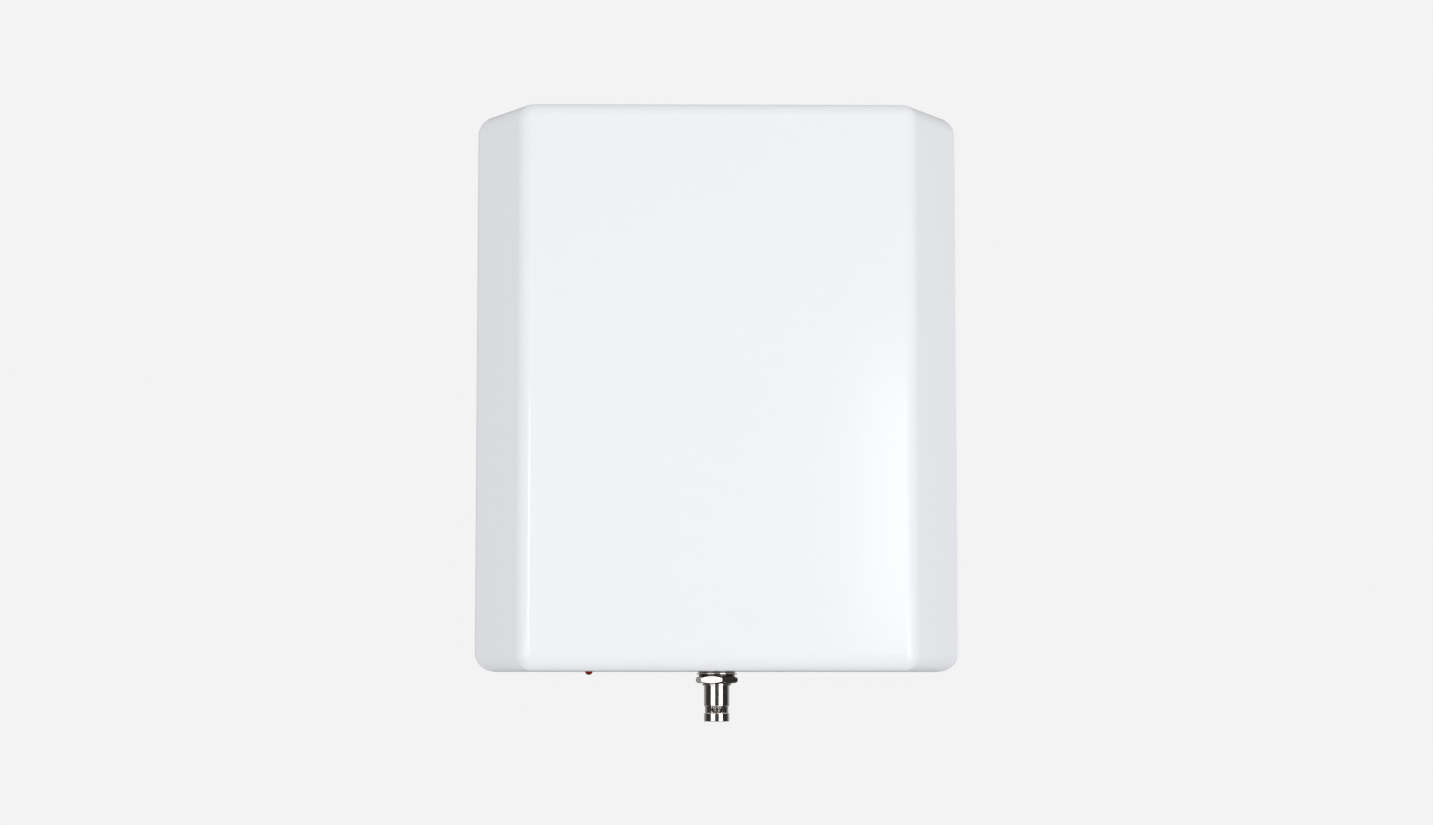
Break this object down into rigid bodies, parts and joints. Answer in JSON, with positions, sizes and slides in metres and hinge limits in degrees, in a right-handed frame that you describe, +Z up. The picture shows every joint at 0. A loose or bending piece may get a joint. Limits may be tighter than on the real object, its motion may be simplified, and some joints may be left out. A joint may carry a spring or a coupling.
{
  "type": "flat panel antenna",
  "caption": "Active directional panel antenna: white bevelled radome over a stacked-patch aerial, bayonet coaxial jack, power lamp and a tilting wall bracket.",
  "frame": {"origin": "centre of the wall bracket's back face, level with the tilt axis", "axes": "+Z up along the housing's height; +Y into the wall, the antenna's front faces -Y; +X to the right seen from the front; the tilt axis runs along X"},
  "size_m": [0.184, 0.092, 0.2324],
  "materials": {
    "radome_plastic": "satin moulded ABS",
    "cover_plastic": "fine moulded grain ABS",
    "seal_rubber": "matt silicone rubber",
    "screw_steel": "zinc plated",
    "sheet_aluminium": "mill finish",
    "patch_brass": "brushed",
    "turned_brass": "turned",
    "nylon": "natural nylon",
    "ptfe": "white PTFE",
    "gold_plate": "gold plated",
    "board_laminate": "green solder resist over glass epoxy",
    "tinned_steel": "bright tin",
    "chip_epoxy": "moulded epoxy",
    "ceramic": "fired ceramic",
    "ferrite": "sintered ferrite",
    "can_aluminium": "drawn can",
    "led_epoxy": "clear red epoxy",
    "coax_jacket": "brown FEP",
    "nickel_plate": "bright nickel",
    "black_oxide": "black oxide on spring steel",
    "bracket_paint": "light grey powder coat",
    "knob_plastic": "glass-filled nylon"
  },
  "bodies": {
    "wall_mount": {"wall_bracket": "bracket_paint", "friction_washers": "nylon", "plain_washers": "screw_steel"},
    "antenna": {"radome": "radome_plastic", "rear_cover": "cover_plastic", "seal_cord": "seal_rubber", "cover_screws": "screw_steel", "reflector": "sheet_aluminium", "reflector_screws": "screw_steel", "driven_patch": "patch_brass", "director_patch": "patch_brass", "lower_spacers": "nylon", "upper_spacers": "nylon", "patch_screws": "nylon", "patch_nuts": "nylon", "ground_post": "turned_brass", "feed_probe": "gold_plate", "feed_bush": "ptfe", "amplifier_board": "board_laminate", "board_standoffs": "turned_brass", "board_screws": "screw_steel", "shield_frame": "tinned_steel", "shield_lid": "tinned_steel", "amplifier_chip": "chip_epoxy", "band_filter": "ceramic", "bias_choke": "ferrite", "voltage_regulator": "chip_epoxy", "reservoir_capacitor": "can_aluminium", "chip_capacitors": "ceramic", "led": "led_epoxy", "led_leads": "tinned_steel", "led_holder": "nylon", "coax_jumper": "coax_jacket", "jack_body": "nickel_plate", "jack_insulator": "ptfe", "jack_contact": "gold_plate", "jack_seal": "seal_rubber", "jack_ground_tag": "tinned_steel", "jack_outer_seal": "seal_rubber", "jack_flat_washer": "nickel_plate", "jack_lock_washer": "black_oxide", "jack_nut": "nickel_plate", "bracket_inserts": "turned_brass", "panel_bracket": "bracket_paint", "panel_bracket_screws": "screw_steel", "pivot_studs": "screw_steel"},
    "left_clamp": {"left_knob": "knob_plastic", "left_knob_insert": "turned_brass"},
    "right_clamp": {"right_knob": "knob_plastic", "right_knob_insert": "turned_brass"}
  },
  "joints": [
    {"name": "tilt", "type": "hinge", "parent": "wall_mount", "child": "antenna", "pos_m": [0, -0.024, 0], "axis": [1, 0, 0], "range_deg": [-20, 20]},
    {"name": "left_knob_turn", "type": "hinge", "parent": "antenna", "child": "left_clamp", "pos_m": [-0.036, -0.024, 0], "axis": [1, 0, 0], "continuous": true},
    {"name": "right_knob_turn", "type": "hinge", "parent": "antenna", "child": "right_clamp", "pos_m": [0.036, -0.024, 0], "axis": [1, 0, 0], "continuous": true}
  ]
}
